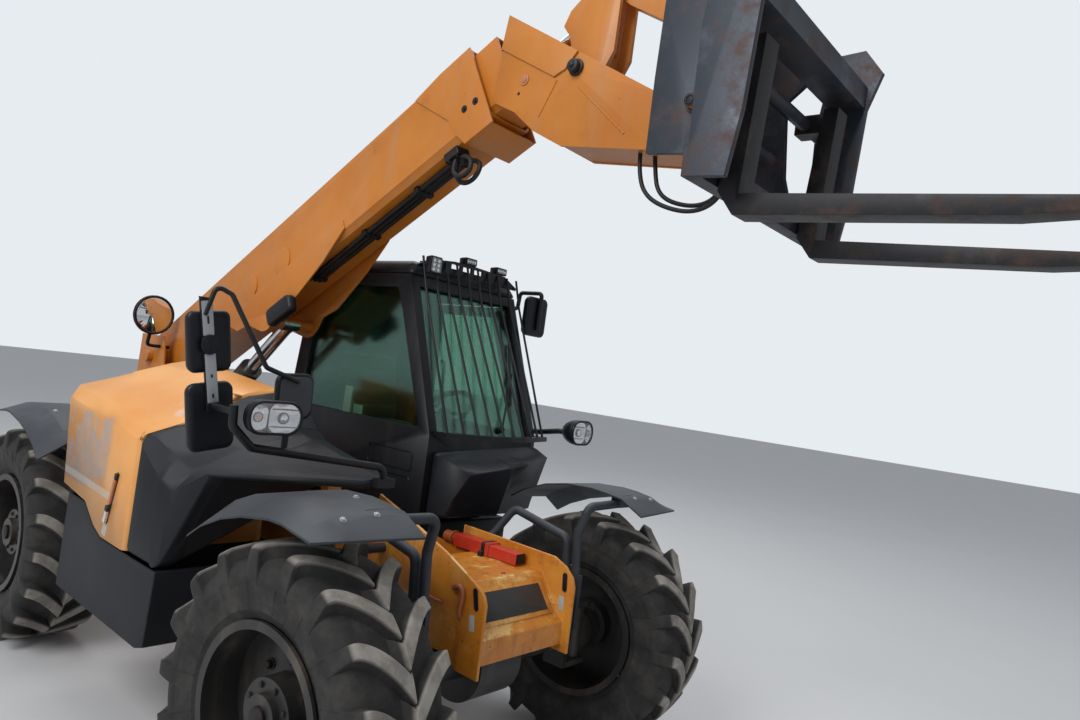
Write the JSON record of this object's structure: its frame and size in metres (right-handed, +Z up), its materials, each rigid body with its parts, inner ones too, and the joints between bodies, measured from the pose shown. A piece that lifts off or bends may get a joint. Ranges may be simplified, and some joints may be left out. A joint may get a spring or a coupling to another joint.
{
  "type": "telehandler",
  "caption": "Telehandler with a half-raised telescopic boom, pallet forks on a tilting carriage, a side cab and a side engine pod, and four-wheel steering.",
  "frame": {"origin": "on the ground, below the middle of the parked machine's bounding box", "axes": "+X forward towards the forks, +Y to the machine's left (cab side), +Z up"},
  "size_m": [5.8457, 2.4896, 3.7068],
  "materials": {
    "body_paint": "amber orange paint, chipped and faded",
    "bonnet_paint": "paler sun-faded amber paint",
    "black_plastic": "matt blue-black moulded plastic",
    "cab_paint": "satin black paint",
    "dark_paint": "dark grey paint, dusty",
    "red_paint": "red paint",
    "tyre_rubber": "worn black rubber with tan dust",
    "tinted_glass": "green-tinted glass",
    "seat_fabric": "dark brown cloth",
    "worn_steel": "grey paint worn to dark rusty steel",
    "rod_chrome": "bright chrome",
    "mirror_black": "black moulded housings",
    "lamp_lens": "clear lens over a bright reflector",
    "hose_rubber": "black hose"
  },
  "bodies": {
    "chassis": {"chassis_frame": "body_paint", "nose_frame": "body_paint", "safety_strut": "red_paint", "counterweight": "body_paint", "front_axle": "dark_paint", "rear_axle": "dark_paint", "engine_block": "dark_paint", "engine_skirt": "black_plastic", "cowl": "black_plastic", "side_tank": "black_plastic", "cab_shell": "cab_paint", "cab_roof": "cab_paint", "cab_glass": "tinted_glass", "cab_nose_panel": "black_plastic", "windscreen_guard": "cab_paint", "seat_base": "black_plastic", "seat": "seat_fabric", "steering_column": "black_plastic", "mudguards_front": "black_plastic", "mudguards_rear": "black_plastic", "mirror_arms": "cab_paint", "mirror_heads": "mirror_black", "lamps": "lamp_lens"},
    "bonnet": {"bonnet": "bonnet_paint"},
    "door": {"cab_door": "cab_paint", "door_glass": "tinted_glass"},
    "boom": {"boom_outer": "body_paint", "boom_hoses": "hose_rubber"},
    "boom_slide": {"boom_inner": "body_paint"},
    "lift_barrel": {"lift_barrel": "dark_paint"},
    "lift_rod": {"lift_rod": "rod_chrome"},
    "tilt_barrel": {"tilt_barrel": "dark_paint"},
    "tilt_rod": {"tilt_rod": "rod_chrome"},
    "tilt_lever": {"tilt_lever": "body_paint"},
    "tilt_link": {"tilt_link": "body_paint"},
    "carriage": {"carriage": "worn_steel", "forks": "worn_steel"},
    "steer_front_left": {"knuckle_front_left": "dark_paint"},
    "wheel_front_left": {"rim_front_left": "dark_paint", "tyre_front_left": "tyre_rubber"},
    "steer_front_right": {"knuckle_front_right": "dark_paint"},
    "wheel_front_right": {"rim_front_right": "dark_paint", "tyre_front_right": "tyre_rubber"},
    "steer_rear_left": {"knuckle_rear_left": "dark_paint"},
    "wheel_rear_left": {"rim_rear_left": "dark_paint", "tyre_rear_left": "tyre_rubber"},
    "steer_rear_right": {"knuckle_rear_right": "dark_paint"},
    "wheel_rear_right": {"rim_rear_right": "dark_paint", "tyre_rear_right": "tyre_rubber"}
  },
  "joints": [
    {"name": "steering_front_left", "type": "hinge", "parent": "chassis", "child": "steer_front_left", "pos_m": [0.5875, 0.75, 0.6], "axis": [0, 0, 1], "range_deg": [-42, 28]},
    {"name": "wheel_spin_front_left", "type": "hinge", "parent": "steer_front_left", "child": "wheel_front_left", "pos_m": [0.55938, 0.92171, 0.6], "axis": [-0.1616, 0.9869, 0], "continuous": true},
    {"name": "steering_front_right", "type": "hinge", "parent": "chassis", "child": "steer_front_right", "pos_m": [0.5875, -0.75, 0.6], "axis": [0, 0, 1], "range_deg": [-42, 28]},
    {"name": "wheel_spin_front_right", "type": "hinge", "parent": "steer_front_right", "child": "wheel_front_right", "pos_m": [0.60236, -0.92336, 0.6], "axis": [-0.0854, 0.9963, 0], "continuous": true},
    {"name": "steering_rear_left", "type": "hinge", "parent": "chassis", "child": "steer_rear_left", "pos_m": [-2.1625, 0.75, 0.6], "axis": [0, 0, 1], "range_deg": [-35, 35]},
    {"name": "wheel_spin_rear_left", "type": "hinge", "parent": "steer_rear_left", "child": "wheel_rear_left", "pos_m": [-2.1625, 0.924, 0.6], "axis": [0, 1, 0], "continuous": true},
    {"name": "steering_rear_right", "type": "hinge", "parent": "chassis", "child": "steer_rear_right", "pos_m": [-2.1625, -0.75, 0.6], "axis": [0, 0, 1], "range_deg": [-35, 35]},
    {"name": "wheel_spin_rear_right", "type": "hinge", "parent": "steer_rear_right", "child": "wheel_rear_right", "pos_m": [-2.1625, -0.924, 0.6], "axis": [0, 1, 0], "continuous": true},
    {"name": "boom_lift", "type": "hinge", "parent": "chassis", "child": "boom", "pos_m": [-2.6125, 0, 1.683], "axis": [0, -1, 0], "range_deg": [-31.4, 40.6]},
    {"name": "boom_extension", "type": "slide", "parent": "boom", "child": "boom_slide", "axis": [0.8771, 0, 0.4802], "range_m": [0, 2.5]},
    {"name": "lift_cylinder_pivot", "type": "hinge", "parent": "chassis", "child": "lift_barrel", "pos_m": [-2.5825, 0, 0.95], "axis": [0, -1, 0], "range_deg": [-22.61, 29.21]},
    {"name": "lift_cylinder_rod", "type": "slide", "parent": "lift_barrel", "child": "lift_rod", "axis": [0.7651, 0, 0.6439], "range_m": [-0.3002, 0.3879]},
    {"name": "carriage_tilt", "type": "hinge", "parent": "boom_slide", "child": "carriage", "pos_m": [1.4925, 0, 2.975], "axis": [0, 1, 0], "range_deg": [-40, 60]},
    {"name": "tilt_lever_pivot", "type": "hinge", "parent": "boom_slide", "child": "tilt_lever", "pos_m": [0.8385, 0, 3.243], "axis": [0, 1, 0], "range_deg": [-40.1, 60.1]},
    {"name": "tilt_link_pivot", "type": "hinge", "parent": "tilt_lever", "child": "tilt_link", "pos_m": [0.9235, 0, 3.648], "axis": [0, 1, 0], "range_deg": [-60.1, 40.1]},
    {"name": "tilt_cylinder_pivot", "type": "hinge", "parent": "boom_slide", "child": "tilt_barrel", "pos_m": [-0.45389, 0, 2.842], "axis": [0, 1, 0], "range_deg": [-2.06, 3.04]},
    {"name": "tilt_cylinder_rod", "type": "slide", "parent": "tilt_barrel", "child": "tilt_rod", "axis": [0.8777, 0, 0.4792], "range_m": [-0.1644, 0.246]},
    {"name": "bonnet_lid", "type": "hinge", "parent": "chassis", "child": "bonnet", "pos_m": [-1.1125, -0.385, 1.625], "axis": [-1, 0, 0], "range_deg": [0, 60]},
    {"name": "cab_door_hinge", "type": "hinge", "parent": "chassis", "child": "door", "pos_m": [-1.1675, 1.062, 1.7], "axis": [0, 0, 1], "range_deg": [0, 100]}
  ],
  "couplings": [
    {"joint": "steering_front_right", "follows": "steering_front_left", "ratio": 1},
    {"joint": "steering_rear_right", "follows": "steering_rear_left", "ratio": 1},
    {"joint": "lift_cylinder_pivot", "follows": "boom_lift", "ratio": 0.717},
    {"joint": "lift_cylinder_rod", "follows": "boom_lift", "m_per_rad": 0.546},
    {"joint": "tilt_lever_pivot", "follows": "carriage_tilt", "ratio": 1},
    {"joint": "tilt_link_pivot", "follows": "carriage_tilt", "ratio": -1},
    {"joint": "tilt_cylinder_pivot", "follows": "carriage_tilt", "ratio": 0.049},
    {"joint": "tilt_cylinder_rod", "follows": "carriage_tilt", "m_per_rad": 0.234}
  ]
}
